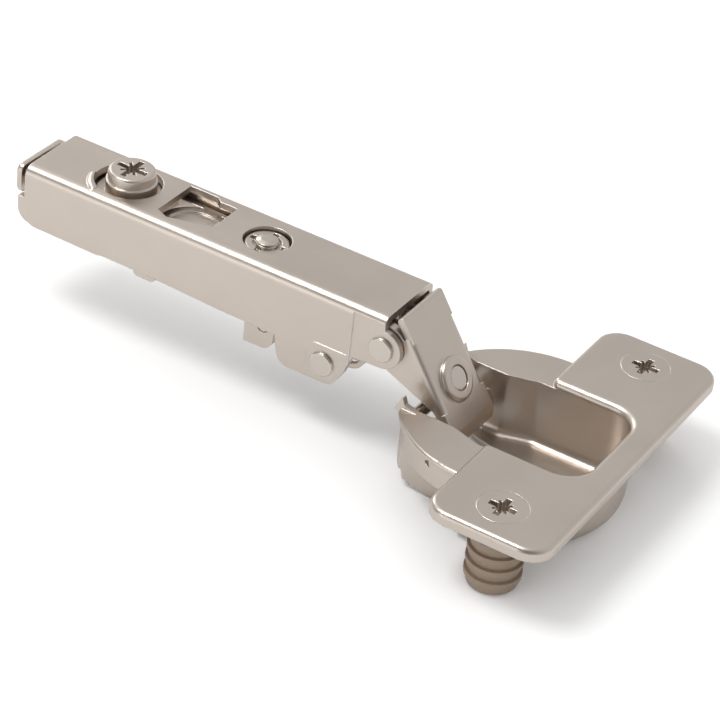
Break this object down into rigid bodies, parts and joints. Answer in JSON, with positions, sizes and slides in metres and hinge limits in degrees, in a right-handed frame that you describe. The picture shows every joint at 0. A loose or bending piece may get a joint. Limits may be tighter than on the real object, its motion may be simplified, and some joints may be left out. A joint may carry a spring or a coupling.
{
  "type": "concealed cup hinge",
  "caption": "Concealed cabinet hinge with a 35 mm cup, an adjustable arm and a clip-on carriage, shown open at a right angle.",
  "frame": {"origin": "middle of the line through the two cup dowels, level with the door's face", "axes": "+X from the arm towards the far edge of the cup, +Y across the hinge, +Z out of the door's face"},
  "size_m": [0.1096, 0.0586, 0.0267],
  "materials": {
    "nickel_steel": "satin nickel plate",
    "pin_steel": "bright nickel plate",
    "spring_steel": "drawn wire",
    "dowel_plastic": "moulded"
  },
  "bodies": {
    "carriage": {"carriage": "nickel_steel", "hook_pin": "pin_steel", "release_lever_pin": "pin_steel"},
    "lever": {"release_lever": "nickel_steel", "release_spring": "spring_steel"},
    "depth_screw": {"depth_screw": "nickel_steel"},
    "shoe": {"tilt_shoe": "nickel_steel"},
    "side_screw": {"side_screw": "nickel_steel"},
    "arm": {"hinge_arm": "nickel_steel", "arm_pin_front": "pin_steel", "arm_pin_rear": "pin_steel", "closing_spring_near": "spring_steel", "closing_spring_far": "spring_steel"},
    "outer_link": {"outer_link": "nickel_steel", "link_rivet": "pin_steel"},
    "cup": {"cup": "nickel_steel", "cup_pin_outer": "pin_steel", "cup_pin_inner": "pin_steel", "cup_dowel_near": "dowel_plastic", "cup_dowel_far": "dowel_plastic", "cup_screw_near": "nickel_steel", "cup_screw_far": "nickel_steel"},
    "inner_link": {"inner_link": "nickel_steel"}
  },
  "joints": [
    {"name": "depth_screw_turn", "type": "hinge", "parent": "carriage", "child": "depth_screw", "pos_m": [-0.0813, 0, 0.01285], "axis": [0, 0, 1], "range_deg": [-58.5, 210.5]},
    {"name": "depth_slide", "type": "slide", "parent": "carriage", "child": "shoe", "axis": [1, 0, 0], "range_m": [-0.0005, 0.0018]},
    {"name": "side_screw_turn", "type": "hinge", "parent": "shoe", "child": "side_screw", "pos_m": [-0.0558, 0, 0.01285], "axis": [0, 0, 1], "range_deg": [-228, 714]},
    {"name": "side_tilt", "type": "hinge", "parent": "shoe", "child": "arm", "pos_m": [-0.0922, 0, 0.0111], "axis": [0, -1, 0], "range_deg": [-0.8, 2.5]},
    {"name": "outer_link_swing", "type": "hinge", "parent": "arm", "child": "outer_link", "pos_m": [-0.03043, 0, 0.00736], "axis": [0, 1, 0], "range_deg": [-1.3, 17.01], "deforming": ["closing_spring_near", "closing_spring_far"]},
    {"name": "door_swing", "type": "hinge", "parent": "outer_link", "child": "cup", "pos_m": [-0.0194, 0, -0.00475], "axis": [0, 1, 0], "range_deg": [-107, 8]},
    {"name": "inner_link_swing", "type": "hinge", "parent": "cup", "child": "inner_link", "pos_m": [-0.0234, 0, -0.0017], "axis": [0, 1, 0], "range_deg": [-9.5, 126.31]},
    {"name": "lever_release", "type": "hinge", "parent": "carriage", "child": "lever", "pos_m": [-0.0902, 0, 0.00745], "axis": [0, 1, 0], "range_deg": [0, 4], "stiffness_Nm_per_rad": 0.02, "deforming": ["release_spring"]}
  ],
  "couplings": [
    {"joint": "depth_screw_turn", "follows": "depth_slide", "rad_per_m": 2040.8},
    {"joint": "side_tilt", "follows": "side_screw_turn", "ratio": 0.0035},
    {"joint": "outer_link_swing", "follows": "door_swing", "ratio": -0.15888},
    {"joint": "inner_link_swing", "follows": "door_swing", "ratio": -1.1804}
  ]
}
